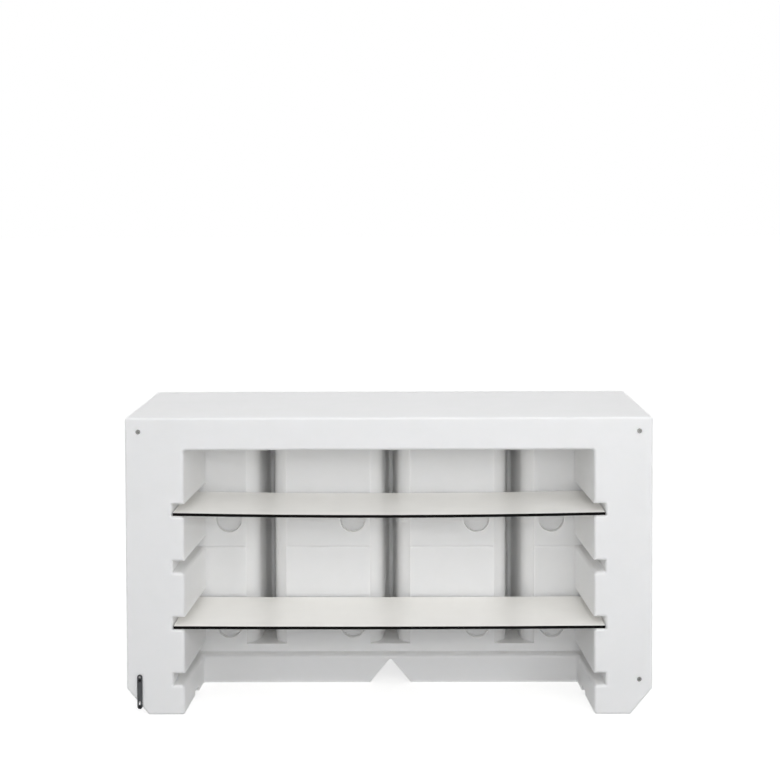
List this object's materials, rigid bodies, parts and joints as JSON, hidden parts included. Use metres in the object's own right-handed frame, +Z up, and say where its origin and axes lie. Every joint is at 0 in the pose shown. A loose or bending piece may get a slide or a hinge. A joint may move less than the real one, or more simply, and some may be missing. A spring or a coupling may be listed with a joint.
{
  "type": "bar counter with shelves",
  "caption": "Hollow moulded bar counter, open at the service side, with moulded shelf grooves, pull-out shelves, threaded inserts and a swinging joining link.",
  "frame": {"origin": "on the floor under the middle of the counter", "axes": "+X to the right as the bartender sees the counter, +Y from the open service side to the guests' side, +Z up"},
  "size_m": [1.8, 0.7085, 1.022],
  "materials": {
    "moulded_polyethylene": "satin, rotationally moulded",
    "laminate_decor": "satin white compact laminate",
    "laminate_core": "black compact laminate core, sawn and polished",
    "insert_nickel": "turned brass, nickel plated",
    "link_steel": "stamped, dull zinc",
    "screw_steel": "black oxide",
    "washer_steel": "zinc plated"
  },
  "bodies": {
    "counter": {"counter_body": "moulded_polyethylene", "insert_top_left": "insert_nickel", "insert_top_right": "insert_nickel", "insert_bottom_left": "insert_nickel", "insert_bottom_right": "insert_nickel", "pivot_screw": "screw_steel", "pivot_washer": "washer_steel"},
    "upper_shelf": {"upper_shelf_core": "laminate_core", "upper_shelf_top_face": "laminate_decor", "upper_shelf_bottom_face": "laminate_decor"},
    "lower_shelf": {"lower_shelf_core": "laminate_core", "lower_shelf_top_face": "laminate_decor", "lower_shelf_bottom_face": "laminate_decor"},
    "joining_link": {"link_plate": "link_steel", "free_screw": "screw_steel", "retaining_washer": "washer_steel"}
  },
  "joints": [
    {"name": "upper_shelf_slide", "type": "slide", "parent": "counter", "child": "upper_shelf", "axis": [0, -1, 0], "range_m": [-0.015, 0.35]},
    {"name": "lower_shelf_slide", "type": "slide", "parent": "counter", "child": "lower_shelf", "axis": [0, -1, 0], "range_m": [-0.007, 0.35]},
    {"name": "link_plate_swing", "type": "hinge", "parent": "counter", "child": "joining_link", "pos_m": [-0.8547, -0.35, 0.12101], "axis": [0, 1, 0], "range_deg": [0, 145]}
  ]
}
